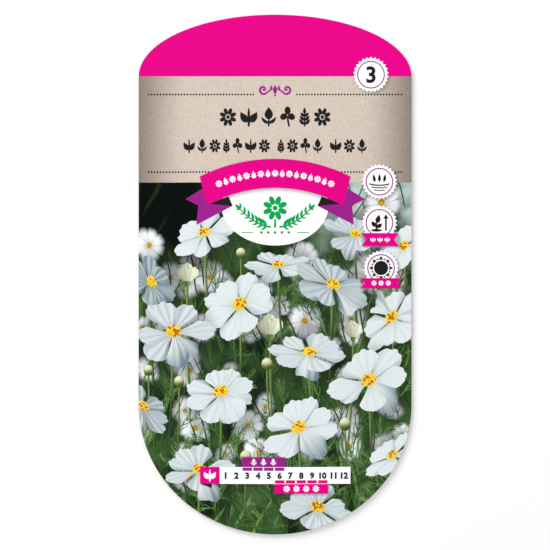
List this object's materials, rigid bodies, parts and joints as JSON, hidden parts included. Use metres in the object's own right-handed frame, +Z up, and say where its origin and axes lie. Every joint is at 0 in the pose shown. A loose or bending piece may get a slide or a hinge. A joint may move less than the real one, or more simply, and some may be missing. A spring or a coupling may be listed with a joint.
{
  "type": "seed packet",
  "caption": "Flat card seed packet with an arched head and a round foot, sealed round its rim over a glassine sachet of loose cosmos seeds.",
  "frame": {"origin": "on the surface that the packet lies on, under the middle of its outline", "axes": "+Y to the head of the packet, +Z up out of the printed front, +X to the right of the print"},
  "size_m": [0.084, 0.16, 0.0033],
  "materials": {
    "printed_card": "satin",
    "plain_card": "satin",
    "glassine": "satin",
    "seed_coat": "matte"
  },
  "bodies": {
    "root": {"back_panel": "plain_card", "front_panel": "printed_card", "sachet_back": "glassine", "sachet_front": "glassine", "seed_01": "seed_coat", "seed_02": "seed_coat", "seed_03": "seed_coat", "seed_04": "seed_coat", "seed_05": "seed_coat", "seed_06": "seed_coat", "seed_07": "seed_coat", "seed_08": "seed_coat", "seed_09": "seed_coat", "seed_10": "seed_coat", "seed_11": "seed_coat", "seed_12": "seed_coat", "seed_13": "seed_coat", "seed_14": "seed_coat", "seed_15": "seed_coat", "seed_16": "seed_coat", "seed_17": "seed_coat", "seed_18": "seed_coat", "seed_19": "seed_coat", "seed_20": "seed_coat", "seed_21": "seed_coat", "seed_22": "seed_coat", "seed_23": "seed_coat", "seed_24": "seed_coat", "seed_25": "seed_coat", "seed_26": "seed_coat", "seed_27": "seed_coat", "seed_28": "seed_coat", "seed_29": "seed_coat", "seed_30": "seed_coat", "seed_31": "seed_coat", "seed_32": "seed_coat", "seed_33": "seed_coat", "seed_34": "seed_coat", "seed_35": "seed_coat", "seed_36": "seed_coat", "seed_37": "seed_coat", "seed_38": "seed_coat", "seed_39": "seed_coat", "seed_40": "seed_coat", "seed_41": "seed_coat", "seed_42": "seed_coat", "seed_43": "seed_coat", "seed_44": "seed_coat", "seed_45": "seed_coat", "seed_46": "seed_coat", "seed_47": "seed_coat", "seed_48": "seed_coat", "seed_49": "seed_coat", "seed_50": "seed_coat"}
  },
  "joints": []
}
